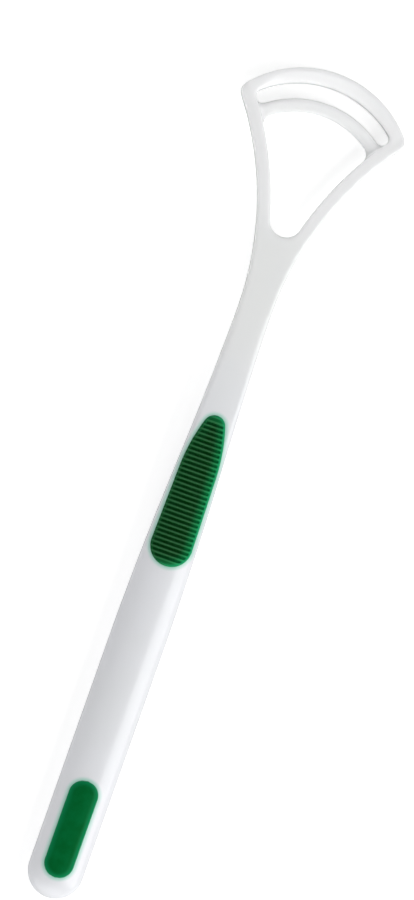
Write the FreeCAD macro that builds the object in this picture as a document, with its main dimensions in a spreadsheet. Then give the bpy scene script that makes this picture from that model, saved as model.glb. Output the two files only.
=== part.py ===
import FreeCAD, Part
import math
import os
from types import SimpleNamespace

import Sketcher
from FreeCAD import Placement, Rotation, Vector

# A tongue scraper: a white moulding with a handle, a neck and a forked head that carries two scraping arcs,
# and two soft green grips let into the top of the handle.
# It lies with its grips up, +Y from the tail to the head, +Z up, and the origin under the middle of its length.

# Driving dimensions in millimetres and degrees. Stations are measured from the tail end along the handle.
SIZES = [
    ("handle_length", 128.3, "tail end to the neck, where the head's plane begins"),
    ("handle_width", 11.6, "handle, across"),
    ("handle_height", 6.6, "handle, underside to top"),
    ("taper_start", 60.0, "station where the handle begins to narrow"),
    ("handle_crown", 9.0, "radius of the handle's top, across"),
    ("handle_top_round", 2.2, "radius of the handle's upper edges"),
    ("handle_bottom_round", 2.0, "radius of the handle's lower edges"),
    ("neck_width", 7.2, "neck, across, at the head's plane"),
    ("neck_height", 3.0, "thickness of the neck and of the head's arms"),
    ("edge_round", 0.9, "radius of the edges of the neck and the head"),
    ("head_length", 51.8, "neck to the tip of the outer arc, along the head's plane"),
    ("head_tilt", 3.0, "slope of the head's plane, down towards the tip"),
    ("flank_radius", 68.0, "radius of the concave outer side of each arm"),
    ("arm_width", 2.8, "arm, across"),
    ("corner_round", 2.2, "radius of the head's two outer corners"),
    ("crotch_round", 3.4, "radius at the bottom of the window, between the arms"),
    ("outer_arc_radius", 22.65, "radius of the head's tip"),
    ("outer_arc_width", 3.4, "outer scraping arc, across, at the tip"),
    ("slot_arc_step", 1.05, "radius of the slot's outer edge, below that of the head's tip"),
    ("slot_end_round", 1.3, "radius of the slot's outer corners"),
    ("slot_width", 3.1, "slot between the two arcs, at the tip"),
    ("inner_arc_step", 2.25, "outer radius of the inner scraping arc, below that of the head's tip"),
    ("inner_arc_width", 2.9, "inner scraping arc, across"),
    ("inner_arc_drop", 1.0, "top of the inner arc below the top of the arms"),
    ("inner_arc_crown", 2.4, "radius of the inner arc's rounded top"),
    ("inner_arc_side", 0.6, "height of the inner arc's upright sides"),
    ("window_corner_round", 2.0, "radius of the webs between the inner arc and the arms, on the window's side"),
    ("slot_corner_round", 1.2, "radius of the webs between the inner arc and the arms, on the slot's side"),
    ("web_height", 1.0, "thickness of those webs"),
    ("lip_reach", 2.7, "scraping lips below the middle of the head's plane"),
    ("lip_round", 0.5, "radius of the scraping lips' edges"),
    ("lip_root", 1.8, "outer scraping lip, across, where it leaves the arc"),
    ("grip_proud", 0.4, "both grips above the handle's surface"),
    ("grip_edge_round", 0.3, "radius of the grips' upper edges"),
    ("grip_clearance", 0.03, "gap between a grip and the walls of its seat"),
    ("seat_depth", 2.0, "floor of both seats below the handle's top"),
    ("peg_diameter", 2.4, "anchor pegs under the grips"),
    ("peg_length", 1.4, "anchor pegs below the floor of the seat"),
    ("tail_grip_start", 4.7, "station of the tail grip's lower end"),
    ("tail_grip_length", 20.9, "tail grip, along"),
    ("tail_grip_width", 6.2, "tail grip, across"),
    ("tail_peg_spacing", 10.0, "between the tail grip's pegs"),
    ("thumb_grip_start", 72.6, "station of the thumb grip's lower end"),
    ("thumb_grip_length", 32.7, "thumb grip, along"),
    ("thumb_grip_width", 8.8, "thumb grip, across its lower end"),
    ("thumb_shoulder", 16.0, "from the middle of its lower end to where the thumb grip draws in"),
    ("thumb_side_radius", 38.0, "radius of the sides where the thumb grip draws in"),
    ("thumb_nose_radius", 2.3, "radius of the thumb grip's upper end"),
    ("thumb_peg_spacing", 14.0, "between the thumb grip's pegs"),
    ("rib_pitch", 1.0, "from one rib to the next"),
    ("rib_groove_width", 0.5, "groove between two ribs, across"),
    ("rib_groove_depth", 0.5, "groove between two ribs, deep"),
    ("rib_border", 0.75, "plain border round the ribs"),
    ("rib_first", 1.72, "from the thumb grip's lower end to its first groove"),
    ("rib_curve_radius", 9.6, "radius of the grooves' floor, across"),
]
# Shares of the way from taper_start to the neck at which the handle's section is drawn.
SECTION_SHARES = [0.0, 0.04, 0.2, 0.4, 0.6, 0.8, 0.96]
# How much the handle's narrowing slows down at both ends of the taper.
TAPER_EASE = 0.08
# Share of the crown's curvature that is lost on the way to the flat neck.
CROWN_LOSS = 0.98


class Size:
    """A number together with the sheet expression that gives it."""

    def __init__(self, text, value):
        self.text = text
        self.value = value

    def __add__(self, other):
        other = as_size(other)
        return Size(f"({self.text} + {other.text})", self.value + other.value)

    def __sub__(self, other):
        other = as_size(other)
        return Size(f"({self.text} - {other.text})", self.value - other.value)

    def __mul__(self, other):
        other = as_size(other)
        return Size(f"({self.text} * {other.text})", self.value * other.value)

    def __truediv__(self, other):
        other = as_size(other)
        return Size(f"({self.text} / {other.text})", self.value / other.value)

    def __radd__(self, other):
        return as_size(other) + self

    def __rsub__(self, other):
        return as_size(other) - self

    def __rmul__(self, other):
        return as_size(other) * self


def as_size(number):
    return number if isinstance(number, Size) else Size(repr(number), number)


def of_angle(function, angle):
    return Size(f"{function}({angle.text})", getattr(math, function)(math.radians(angle.value)))


def to_angle(function, ratio):
    return Size(f"{function}({ratio.text})", math.degrees(getattr(math, function)(ratio.value)))


def root(number):
    return Size(f"sqrt({number.text})", math.sqrt(number.value))


def whole(number):
    return Size(f"floor({number.text})", math.floor(number.value))


doc = FreeCAD.newDocument("tongue_scraper")
sheet = doc.addObject("Spreadsheet::Sheet", "sizes")
for row, (alias, value, meaning) in enumerate(SIZES, start=1):
    sheet.set(f"A{row}", alias)
    sheet.set(f"B{row}", str(value))
    sheet.set(f"C{row}", meaning)
    sheet.setAlias(f"B{row}", alias)
doc.recompute()
size = SimpleNamespace(**{alias: Size(f"sizes.{alias}", value) for alias, value, meaning in SIZES})

# Places that follow from the driving dimensions.
half_length = (size.handle_length + size.head_length * of_angle("cos", size.head_tilt)) / 2
neck_y = size.handle_length - half_length
lip_middle = size.head_length - size.outer_arc_width / 2
neck_z = (lip_middle * of_angle("sin", size.head_tilt)
          + (size.lip_reach - size.lip_round) * of_angle("cos", size.head_tilt)
          + size.lip_round)
taper_length = size.handle_length - size.taper_start
flank_x = size.neck_width / 2 + size.flank_radius
slot_arc_radius = size.outer_arc_radius - size.slot_arc_step
inner_arc_radius = size.outer_arc_radius - size.inner_arc_step
outer_arc_centre = size.head_length - size.outer_arc_radius
slot_arc_centre = size.head_length - size.outer_arc_width - slot_arc_radius
inner_arc_centre = size.head_length - size.outer_arc_width - size.slot_width - inner_arc_radius


def eased(share):
    """Goes from 0 to 1 with a level start and end."""
    return share * share * (3 - 2 * share)


def even(share):
    """Goes from 0 to 1 almost evenly, a little slower at both ends."""
    return share - TAPER_EASE * math.sin(2 * math.pi * share)


def blend(first, last, share):
    return first + (last - first) * share


def profile_height(handle_z, neck_edge_z, share):
    """Height of the handle's top or underside on its way to the sloping neck."""
    slope = (taper_length * of_angle("tan", size.head_tilt)) * (share * share * (1 - share))
    return blend(handle_z, neck_edge_z, eased(share)) + slope


def top_height(share):
    return profile_height(size.handle_height, neck_z + size.neck_height / 2, share)


def bottom_height(share):
    return profile_height(size.handle_height * 0, neck_z - size.neck_height / 2, share)


# Sketch helpers. A path is a list of (geometry, first end, last end) in the order in which it is walked.
LEVEL_AXIS, UPRIGHT_AXIS = -1, -2
START, END, CENTRE = 1, 2, 3
ORIGIN = (LEVEL_AXIS, START)


def new_sketch(body, name, plane_role, base, turn_axis=None, turn=None):
    """A sketch on one of the body's origin planes, moved by base and turned about an axis of that plane."""
    sketch = body.newObject("Sketcher::SketchObject", name)
    plane = next(item for item in body.Origin.OriginFeatures if item.Role == plane_role)
    sketch.AttachmentSupport = [(plane, "")]
    sketch.MapMode = "FlatFace"
    if turn is not None:
        sketch.AttachmentOffset = Placement(Vector(), Rotation(turn_axis, turn.value))
        sketch.setExpression("AttachmentOffset.Rotation.Angle", turn.text)
    for axis, shift in zip("xyz", base):
        if shift is not None:
            sketch.setExpression(f"AttachmentOffset.Base.{axis}", shift.text)
    return sketch


def line(sketch, start, end, construction=False):
    return sketch.addGeometry(Part.LineSegment(Vector(*start, 0), Vector(*end, 0)), construction)


def arc(sketch, centre, radius, start, end):
    """An arc that runs anticlockwise from the direction of start to the direction of end."""
    first = math.atan2(start[1] - centre[1], start[0] - centre[0])
    last = math.atan2(end[1] - centre[1], end[0] - centre[0])
    if last <= first:
        last += 2 * math.pi
    circle = Part.Circle(Vector(*centre, 0), Vector(0, 0, 1), radius)
    return sketch.addGeometry(Part.ArcOfCircle(circle, first, last), False)


def forward(geometry):
    return (geometry, START, END)


def backward(geometry):
    return (geometry, END, START)


def close_path(sketch, path, corners=()):
    """Joins a closed path end to end: tangent everywhere but after the pieces listed in corners."""
    for index, (geometry, first, last) in enumerate(path):
        following, start, end = path[(index + 1) % len(path)]
        kind = "Coincident" if geometry in corners else "Tangent"
        sketch.addConstraint(Sketcher.Constraint(kind, geometry, last, following, start))


def fix(sketch, kind, *places):
    sketch.addConstraint(Sketcher.Constraint(kind, *places))


def drive(sketch, name, wanted, kind, *places):
    """A dimension that follows the sheet."""
    index = sketch.addConstraint(Sketcher.Constraint(kind, *places, wanted.value))
    sketch.renameConstraint(index, name)
    sketch.setExpression(f"Constraints.{name}", wanted.text)


def meet(centre_a, radius_a, centre_b, radius_b):
    """The crossing of two circles that lies to the right on the way from centre_a to centre_b."""
    across = Vector(*centre_b, 0) - Vector(*centre_a, 0)
    reach = across.Length
    along = (radius_a ** 2 - radius_b ** 2 + reach ** 2) / (2 * reach)
    side = math.sqrt(radius_a ** 2 - along ** 2)
    across.normalize()
    return (centre_a[0] + along * across.x + side * across.y, centre_a[1] + along * across.y - side * across.x)


def mirrored(point):
    return (-point[0], point[1])


def feature(body, kind, name, **settings):
    made = body.newObject(f"PartDesign::{kind}", name)
    for setting, value in settings.items():
        if isinstance(value, Size):
            made.setExpression(setting, value.text)
        else:
            setattr(made, setting, value)
    doc.recompute()
    return made


def handle_section(body, name, station, width, bottom, top, top_round, bottom_round, crown, half=False):
    """Upright section of the handle: flat underside, rounded edges, crowned top. A half runs to the middle."""
    sketch = new_sketch(body, name, "XZ_Plane", (None, None, half_length - station))
    side = width.value / 2
    crown_centre = (0, top.value - crown.value)
    shoulder_x = side - top_round.value
    shoulder_rise = math.sqrt((crown.value - top_round.value) ** 2 - shoulder_x ** 2)
    shoulder = (shoulder_x, crown_centre[1] + shoulder_rise)
    foot = (side - bottom_round.value, bottom.value + bottom_round.value)
    reach = crown.value / (crown.value - top_round.value)
    brow = (shoulder_x * reach, crown_centre[1] + shoulder_rise * reach)
    foot_low = (foot[0], bottom.value)
    foot_side = (side, foot[1])
    shoulder_side = (side, shoulder[1])

    right_foot = arc(sketch, foot, bottom_round.value, foot_low, foot_side)
    right_side = line(sketch, foot_side, shoulder_side)
    right_brow = arc(sketch, shoulder, top_round.value, shoulder_side, brow)
    right = [forward(right_foot), forward(right_side), forward(right_brow)]
    fix(sketch, "Vertical", right_side)
    if half:
        peak = (0, top.value)
        top_arc = arc(sketch, crown_centre, crown.value, brow, peak)
        middle = line(sketch, peak, (0, bottom.value))
        under = line(sketch, (0, bottom.value), foot_low)
        close_path(sketch, right + [forward(top_arc), forward(middle), forward(under)], (top_arc, middle))
        fix(sketch, "Vertical", middle)
        fix(sketch, "PointOnObject", middle, START, UPRIGHT_AXIS)
    else:
        top_arc = arc(sketch, crown_centre, crown.value, brow, mirrored(brow))
        left_brow = arc(sketch, mirrored(shoulder), top_round.value, mirrored(brow), mirrored(shoulder_side))
        left_side = line(sketch, mirrored(shoulder_side), mirrored(foot_side))
        left_foot = arc(sketch, mirrored(foot), bottom_round.value, mirrored(foot_side), mirrored(foot_low))
        under = line(sketch, mirrored(foot_low), foot_low)
        left = [forward(left_brow), forward(left_side), forward(left_foot)]
        close_path(sketch, right + [forward(top_arc)] + left + [forward(under)])
        fix(sketch, "Vertical", left_side)
        fix(sketch, "Equal", right_foot, left_foot)
        fix(sketch, "Equal", right_brow, left_brow)
        drive(sketch, "left_reach", width / 2, "DistanceX", left_side, START, *ORIGIN)
    fix(sketch, "Horizontal", under)
    fix(sketch, "PointOnObject", top_arc, CENTRE, UPRIGHT_AXIS)
    drive(sketch, "right_reach", width / 2, "DistanceX", *ORIGIN, right_side, START)
    drive(sketch, "underside", bottom, "DistanceY", *ORIGIN, under, START)
    drive(sketch, "crown_depth", crown - top, "DistanceY", top_arc, CENTRE, *ORIGIN)
    drive(sketch, "crown_radius", crown, "Radius", top_arc)
    drive(sketch, "top_round", top_round, "Radius", right_brow)
    drive(sketch, "bottom_round", bottom_round, "Radius", right_foot)
    return sketch


def tapered_section(body, name, share, proud):
    """Section at a share of the way along the taper, grown outwards by proud."""
    spread = even(share)
    shrink = eased(share)
    return handle_section(
        body, name,
        station=size.taper_start + taper_length * share,
        width=blend(size.handle_width, size.neck_width, spread) + proud * 2,
        bottom=bottom_height(share),
        top=top_height(share) + proud,
        top_round=blend(size.handle_top_round, size.edge_round, shrink) + proud,
        bottom_round=blend(size.handle_bottom_round, size.edge_round, shrink),
        crown=size.handle_crown / (1 - CROWN_LOSS * share * share) + proud,
    )


def neck_section(body, name):
    """The neck's section, square to the head's plane."""
    sketch = new_sketch(body, name, "XZ_Plane", (None, neck_z, half_length - size.handle_length),
                        Vector(1, 0, 0), size.head_tilt * -1)
    side = size.neck_width.value / 2
    rise = size.neck_height.value / 2
    bend = size.edge_round.value
    inner_x = side - bend
    inner_z = rise - bend
    right_foot = arc(sketch, (inner_x, -inner_z), bend, (inner_x, -rise), (side, -inner_z))
    right_side = line(sketch, (side, -inner_z), (side, inner_z))
    right_brow = arc(sketch, (inner_x, inner_z), bend, (side, inner_z), (inner_x, rise))
    over = line(sketch, (inner_x, rise), (-inner_x, rise))
    left_brow = arc(sketch, (-inner_x, inner_z), bend, (-inner_x, rise), (-side, inner_z))
    left_side = line(sketch, (-side, inner_z), (-side, -inner_z))
    left_foot = arc(sketch, (-inner_x, -inner_z), bend, (-side, -inner_z), (-inner_x, -rise))
    under = line(sketch, (-inner_x, -rise), (inner_x, -rise))
    path = [right_foot, right_side, right_brow, over, left_brow, left_side, left_foot, under]
    close_path(sketch, [forward(piece) for piece in path])
    for level in (over, under):
        fix(sketch, "Horizontal", level)
    for upright in (right_side, left_side):
        fix(sketch, "Vertical", upright)
    for other in (right_brow, left_brow, left_foot):
        fix(sketch, "Equal", right_foot, other)
    drive(sketch, "edge_round", size.edge_round, "Radius", right_foot)
    drive(sketch, "right_reach", size.neck_width / 2, "DistanceX", *ORIGIN, right_side, START)
    drive(sketch, "left_reach", size.neck_width / 2, "DistanceX", left_side, START, *ORIGIN)
    drive(sketch, "top_reach", size.neck_height / 2, "DistanceY", *ORIGIN, over, START)
    drive(sketch, "bottom_reach", size.neck_height / 2, "DistanceY", under, START, *ORIGIN)
    return sketch


def on_head_plane(body, name):
    """A sketch on the head's plane, with its origin in the middle of the neck and its Y towards the tip."""
    return new_sketch(body, name, "XY_Plane", (None, neck_y, neck_z), Vector(1, 0, 0), size.head_tilt * -1)


def on_head_middle(body, name):
    """A sketch on the upright middle plane: X along the head's plane from the neck, Y out of that plane."""
    return new_sketch(body, name, "YZ_Plane", (neck_y, neck_z, None), Vector(0, 0, 1), size.head_tilt * -1)


def head_outline(body):
    """Outer edge of the head and the one opening inside its arms and outer arc."""
    sketch = on_head_plane(body, "head_outline")
    side = size.neck_width.value / 2
    flank = size.flank_radius.value
    hub = (flank_x.value, 0)

    corner_bend = size.corner_round.value
    tip = (0, outer_arc_centre.value)
    tip_radius = size.outer_arc_radius.value
    corner = meet(hub, flank + corner_bend, tip, tip_radius - corner_bend)
    flank_end = (hub[0] + (corner[0] - hub[0]) * flank / (flank + corner_bend),
                 corner[1] * flank / (flank + corner_bend))
    stretch = tip_radius / (tip_radius - corner_bend)
    tip_end = (corner[0] * stretch, tip[1] + (corner[1] - tip[1]) * stretch)
    neck = line(sketch, (-side, 0), (side, 0))
    right_flank = arc(sketch, hub, flank, flank_end, (side, 0))
    right_corner = arc(sketch, corner, corner_bend, flank_end, tip_end)
    tip_arc = arc(sketch, tip, tip_radius, tip_end, mirrored(tip_end))
    left_corner = arc(sketch, mirrored(corner), corner_bend, mirrored(tip_end), mirrored(flank_end))
    left_flank = arc(sketch, mirrored(hub), flank, (-side, 0), mirrored(flank_end))
    close_path(sketch, [forward(neck), backward(right_flank), forward(right_corner), forward(tip_arc),
                        forward(left_corner), backward(left_flank)], (neck, left_flank))
    for end in (START, END):
        fix(sketch, "PointOnObject", neck, end, LEVEL_AXIS)
    for arm in (right_flank, left_flank):
        fix(sketch, "PointOnObject", arm, CENTRE, LEVEL_AXIS)
    fix(sketch, "Equal", right_flank, left_flank)
    fix(sketch, "Equal", right_corner, left_corner)
    fix(sketch, "PointOnObject", tip_arc, CENTRE, UPRIGHT_AXIS)
    drive(sketch, "neck_right", size.neck_width / 2, "DistanceX", *ORIGIN, neck, END)
    drive(sketch, "neck_left", size.neck_width / 2, "DistanceX", neck, START, *ORIGIN)
    drive(sketch, "flank_radius", size.flank_radius, "Radius", right_flank)
    drive(sketch, "corner_round", size.corner_round, "Radius", right_corner)
    drive(sketch, "tip_radius", size.outer_arc_radius, "Radius", tip_arc)
    drive(sketch, "tip_centre", outer_arc_centre, "DistanceY", *ORIGIN, tip_arc, CENTRE)

    inner_flank = flank + size.arm_width.value
    end_bend = size.slot_end_round.value
    crown = (0, slot_arc_centre.value)
    crown_radius = slot_arc_radius.value
    end = meet(hub, inner_flank + end_bend, crown, crown_radius - end_bend)
    side_top = (hub[0] + (end[0] - hub[0]) * inner_flank / (inner_flank + end_bend),
                end[1] * inner_flank / (inner_flank + end_bend))
    stretch = crown_radius / (crown_radius - end_bend)
    crown_end = (end[0] * stretch, crown[1] + (end[1] - crown[1]) * stretch)
    crotch_bend = size.crotch_round.value
    crotch = (0, math.sqrt((inner_flank + crotch_bend) ** 2 - hub[0] ** 2))
    share = inner_flank / (inner_flank + crotch_bend)
    side_low = (hub[0] - hub[0] * share, crotch[1] * share)
    crotch_arc = arc(sketch, crotch, crotch_bend, mirrored(side_low), side_low)
    right_inner = arc(sketch, hub, inner_flank, side_top, side_low)
    right_end = arc(sketch, end, end_bend, side_top, crown_end)
    crown_arc = arc(sketch, crown, crown_radius, crown_end, mirrored(crown_end))
    left_end = arc(sketch, mirrored(end), end_bend, mirrored(crown_end), mirrored(side_top))
    left_inner = arc(sketch, mirrored(hub), inner_flank, mirrored(side_low), mirrored(side_top))
    close_path(sketch, [forward(crotch_arc), backward(right_inner), forward(right_end), forward(crown_arc),
                        forward(left_end), backward(left_inner)])
    fix(sketch, "Coincident", right_inner, CENTRE, right_flank, CENTRE)
    fix(sketch, "Coincident", left_inner, CENTRE, left_flank, CENTRE)
    fix(sketch, "Equal", right_inner, left_inner)
    fix(sketch, "Equal", right_end, left_end)
    fix(sketch, "PointOnObject", crown_arc, CENTRE, UPRIGHT_AXIS)
    drive(sketch, "inner_flank", size.flank_radius + size.arm_width, "Radius", right_inner)
    drive(sketch, "crotch_round", size.crotch_round, "Radius", crotch_arc)
    drive(sketch, "slot_end_round", size.slot_end_round, "Radius", right_end)
    drive(sketch, "slot_radius", slot_arc_radius, "Radius", crown_arc)
    drive(sketch, "slot_centre", slot_arc_centre, "DistanceY", *ORIGIN, crown_arc, CENTRE)
    return sketch


def turning_axis(sketch, centre):
    """Upright construction line through the centre of an arc of the head."""
    axis = line(sketch, (centre.value, 0), (centre.value, size.outer_arc_radius.value), construction=True)
    fix(sketch, "Vertical", axis)
    fix(sketch, "PointOnObject", axis, START, LEVEL_AXIS)
    drive(sketch, "axis_place", centre, "DistanceX", *ORIGIN, axis, START)
    drive(sketch, "axis_length", size.outer_arc_radius, "DistanceY", axis, START, axis, END)


def arm_angle(radius, centre):
    """Angle from the tip at which an arc of the head comes to the middle of an arm."""
    reach = root(flank_x * flank_x + centre * centre)
    arm_middle = size.flank_radius + size.arm_width / 2
    spread = (radius * radius + reach * reach - arm_middle * arm_middle) / (radius * reach * 2)
    return to_angle("atan", centre / flank_x) + Size("90 deg", 90) - to_angle("acos", spread)


def inner_arc_section(body):
    """Section of the inner arc: a rounded top, short upright sides and a taper down to the scraping lip."""
    sketch = on_head_middle(body, "inner_arc_section")
    turning_axis(sketch, inner_arc_centre)
    far = inner_arc_centre + inner_arc_radius
    near = far - size.inner_arc_width
    middle = far - size.inner_arc_width / 2
    half_width = size.inner_arc_width / 2
    crown = size.inner_arc_crown
    crown_sink = crown - root(crown * crown - half_width * half_width)
    brow = size.neck_height / 2 - size.inner_arc_drop - crown_sink
    low = size.inner_arc_side - brow
    lip = size.lip_reach - size.lip_round
    lip_low = (middle.value, -size.lip_reach.value)
    far_lip = (middle.value + size.lip_round.value, -lip.value)
    near_lip = (middle.value - size.lip_round.value, -lip.value)
    crown_centre = (middle.value, brow.value + crown_sink.value - crown.value)
    top_arc = arc(sketch, crown_centre, crown.value, (far.value, brow.value), (near.value, brow.value))
    near_side = line(sketch, (near.value, brow.value), (near.value, -low.value))
    near_taper = line(sketch, (near.value, -low.value), near_lip)
    lip_arc = arc(sketch, (middle.value, -lip.value), size.lip_round.value, near_lip, far_lip)
    far_taper = line(sketch, far_lip, (far.value, -low.value))
    far_side = line(sketch, (far.value, -low.value), (far.value, brow.value))
    path = [top_arc, near_side, near_taper, lip_arc, far_taper, far_side]
    close_path(sketch, [forward(piece) for piece in path], (top_arc, near_side, far_taper, far_side))
    for upright in (near_side, far_side):
        fix(sketch, "Vertical", upright)
    fix(sketch, "Horizontal", near_side, START, far_side, END)
    fix(sketch, "Horizontal", near_side, END, far_side, START)
    drive(sketch, "near_edge", near, "DistanceX", *ORIGIN, near_side, START)
    drive(sketch, "far_edge", far, "DistanceX", *ORIGIN, far_side, START)
    drive(sketch, "crown_radius", crown, "Radius", top_arc)
    drive(sketch, "side_height", size.inner_arc_side, "DistanceY", near_side, END, near_side, START)
    drive(sketch, "brow_place", low, "DistanceY", near_side, END, *ORIGIN)
    drive(sketch, "lip_round", size.lip_round, "Radius", lip_arc)
    drive(sketch, "lip_middle", middle, "DistanceX", *ORIGIN, lip_arc, CENTRE)
    drive(sketch, "lip_place", lip, "DistanceY", lip_arc, CENTRE, *ORIGIN)
    return sketch


def guide_circle(sketch, name, centre, radius):
    """Construction circle on the sketch's upright axis or, for an arm, on its level axis."""
    across, along = centre
    place = Vector(across.value, along.value, 0)
    circle = sketch.addGeometry(Part.Circle(place, Vector(0, 0, 1), radius.value), True)
    drive(sketch, f"{name}_radius", radius, "Radius", circle)
    if across.value == 0:
        fix(sketch, "PointOnObject", circle, CENTRE, UPRIGHT_AXIS)
        drive(sketch, f"{name}_along", along, "DistanceY", *ORIGIN, circle, CENTRE)
    elif across.value > 0:
        fix(sketch, "PointOnObject", circle, CENTRE, LEVEL_AXIS)
        drive(sketch, f"{name}_across", across, "DistanceX", *ORIGIN, circle, CENTRE)
    else:
        fix(sketch, "PointOnObject", circle, CENTRE, LEVEL_AXIS)
        drive(sketch, f"{name}_across", across * -1, "DistanceX", circle, CENTRE, *ORIGIN)
    return circle


def corner_webs(body, name, edge_radius, bend, outward):
    """Two small webs that round the corners between one edge of the inner arc and the arms."""
    sketch = on_head_plane(body, name)
    level = size.neck_width * 0
    arc_place = (level, inner_arc_centre)
    arc_middle = inner_arc_radius - size.inner_arc_width / 2
    wall = size.flank_radius + size.arm_width
    arm_middle = size.flank_radius + size.arm_width / 2
    edge = guide_circle(sketch, "arc_edge", arc_place, edge_radius)
    middle = guide_circle(sketch, "arc_middle", arc_place, arc_middle)

    hub = (flank_x.value, 0)
    pivot = (0, inner_arc_centre.value)
    reach = edge_radius.value + (bend.value if outward else -bend.value)
    web = meet(hub, wall.value + bend.value, pivot, reach)
    wall_share = wall.value / (wall.value + bend.value)
    on_wall = (hub[0] + (web[0] - hub[0]) * wall_share, web[1] * wall_share)
    edge_share = edge_radius.value / reach
    on_edge = (web[0] * edge_share, pivot[1] + (web[1] - pivot[1]) * edge_share)
    inside = meet(hub, arm_middle.value, pivot, arc_middle.value)
    for side, turn, flip in (("right", 1, False), ("left", -1, True)):
        arm_wall = guide_circle(sketch, f"{side}_wall", (flank_x * turn, level), wall)
        arm = guide_circle(sketch, f"{side}_arm", (flank_x * turn, level), arm_middle)
        points = [mirrored(point) if flip else point for point in (web, on_wall, on_edge, inside)]
        centre, wall_point, edge_point, root_point = points
        anticlockwise = flip == outward
        first, last = (wall_point, edge_point) if anticlockwise else (edge_point, wall_point)
        bow = arc(sketch, centre, bend.value, first, last)
        wall_end, edge_end = (START, END) if anticlockwise else (END, START)
        edge_line = line(sketch, edge_point, root_point)
        wall_line = line(sketch, root_point, wall_point)
        fix(sketch, "Tangent", bow, wall_end, arm_wall)
        fix(sketch, "Tangent", bow, edge_end, edge)
        fix(sketch, "Coincident", bow, edge_end, edge_line, START)
        fix(sketch, "Coincident", edge_line, END, wall_line, START)
        fix(sketch, "Coincident", wall_line, END, bow, wall_end)
        fix(sketch, "PointOnObject", edge_line, END, middle)
        fix(sketch, "PointOnObject", edge_line, END, arm)
        drive(sketch, f"{side}_bend", bend, "Radius", bow)
    return sketch


def outer_lip_section(body):
    """Section of the scraping lip under the outer arc. Its root is sunk into the arc."""
    sketch = on_head_middle(body, "outer_lip_section")
    turning_axis(sketch, outer_arc_centre)
    far = lip_middle + size.lip_root / 2
    near = lip_middle - size.lip_root / 2
    lip = size.lip_reach - size.lip_round
    middle = lip_middle.value
    far_lip = (middle + size.lip_round.value, -lip.value)
    near_lip = (middle - size.lip_round.value, -lip.value)
    root_line = line(sketch, (far.value, 0), (near.value, 0))
    near_side = line(sketch, (near.value, 0), near_lip)
    lip_arc = arc(sketch, (middle, -lip.value), size.lip_round.value, near_lip, far_lip)
    far_side = line(sketch, far_lip, (far.value, 0))
    path = [root_line, near_side, lip_arc, far_side]
    close_path(sketch, [forward(piece) for piece in path], (root_line, far_side))
    for end in (START, END):
        fix(sketch, "PointOnObject", root_line, end, LEVEL_AXIS)
    drive(sketch, "far_root", far, "DistanceX", *ORIGIN, root_line, START)
    drive(sketch, "near_root", near, "DistanceX", *ORIGIN, root_line, END)
    drive(sketch, "lip_round", size.lip_round, "Radius", lip_arc)
    drive(sketch, "lip_middle", lip_middle, "DistanceX", *ORIGIN, lip_arc, CENTRE)
    drive(sketch, "lip_place", lip, "DistanceY", lip_arc, CENTRE, *ORIGIN)
    return sketch


def tail_grip_outline(sketch, inset):
    """Straight-sided oval of the tail grip, drawn in by inset. The sketch's origin is the grip's lower end."""
    bend = size.tail_grip_width / 2 - inset
    low = size.tail_grip_width / 2
    high = size.tail_grip_length - size.tail_grip_width / 2
    side = bend.value
    low_arc = arc(sketch, (0, low.value), side, (-side, low.value), (side, low.value))
    right = line(sketch, (side, low.value), (side, high.value))
    high_arc = arc(sketch, (0, high.value), side, (side, high.value), (-side, high.value))
    left = line(sketch, (-side, high.value), (-side, low.value))
    close_path(sketch, [forward(piece) for piece in (low_arc, right, high_arc, left)])
    for bow in (low_arc, high_arc):
        fix(sketch, "PointOnObject", bow, CENTRE, UPRIGHT_AXIS)
    fix(sketch, "Equal", low_arc, high_arc)
    drive(sketch, "bend", bend, "Radius", low_arc)
    drive(sketch, "low", low, "DistanceY", *ORIGIN, low_arc, CENTRE)
    drive(sketch, "high", high, "DistanceY", *ORIGIN, high_arc, CENTRE)


def thumb_grip_outline(sketch, inset):
    """Outline of the thumb grip, drawn in by inset: a round lower end, long sides and a narrow round nose."""
    bend = size.thumb_grip_width / 2 - inset
    nose = size.thumb_nose_radius - inset
    bow = size.thumb_side_radius - inset
    low = size.thumb_grip_width / 2
    high = size.thumb_grip_length - size.thumb_nose_radius
    shoulder = low + size.thumb_shoulder
    side = bend.value
    bow_centre = (side - bow.value, shoulder.value)
    to_nose = Vector(0 - bow_centre[0], high.value - bow_centre[1], 0)
    to_nose.normalize()
    nose_end = (to_nose.x * nose.value, high.value + to_nose.y * nose.value)
    low_arc = arc(sketch, (0, low.value), side, (-side, low.value), (side, low.value))
    right = line(sketch, (side, low.value), (side, shoulder.value))
    right_bow = arc(sketch, bow_centre, bow.value, (side, shoulder.value), nose_end)
    nose_arc = arc(sketch, (0, high.value), nose.value, nose_end, mirrored(nose_end))
    left_bow = arc(sketch, mirrored(bow_centre), bow.value, mirrored(nose_end), (-side, shoulder.value))
    left = line(sketch, (-side, shoulder.value), (-side, low.value))
    path = [low_arc, right, right_bow, nose_arc, left_bow, left]
    close_path(sketch, [forward(piece) for piece in path])
    for end_arc in (low_arc, nose_arc):
        fix(sketch, "PointOnObject", end_arc, CENTRE, UPRIGHT_AXIS)
    fix(sketch, "Equal", right_bow, left_bow)
    drive(sketch, "bend", bend, "Radius", low_arc)
    drive(sketch, "nose", nose, "Radius", nose_arc)
    drive(sketch, "bow", bow, "Radius", right_bow)
    drive(sketch, "low", low, "DistanceY", *ORIGIN, low_arc, CENTRE)
    drive(sketch, "high", high, "DistanceY", *ORIGIN, nose_arc, CENTRE)
    drive(sketch, "right_shoulder", shoulder, "DistanceY", *ORIGIN, right, END)
    drive(sketch, "left_shoulder", shoulder, "DistanceY", *ORIGIN, left, START)


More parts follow.
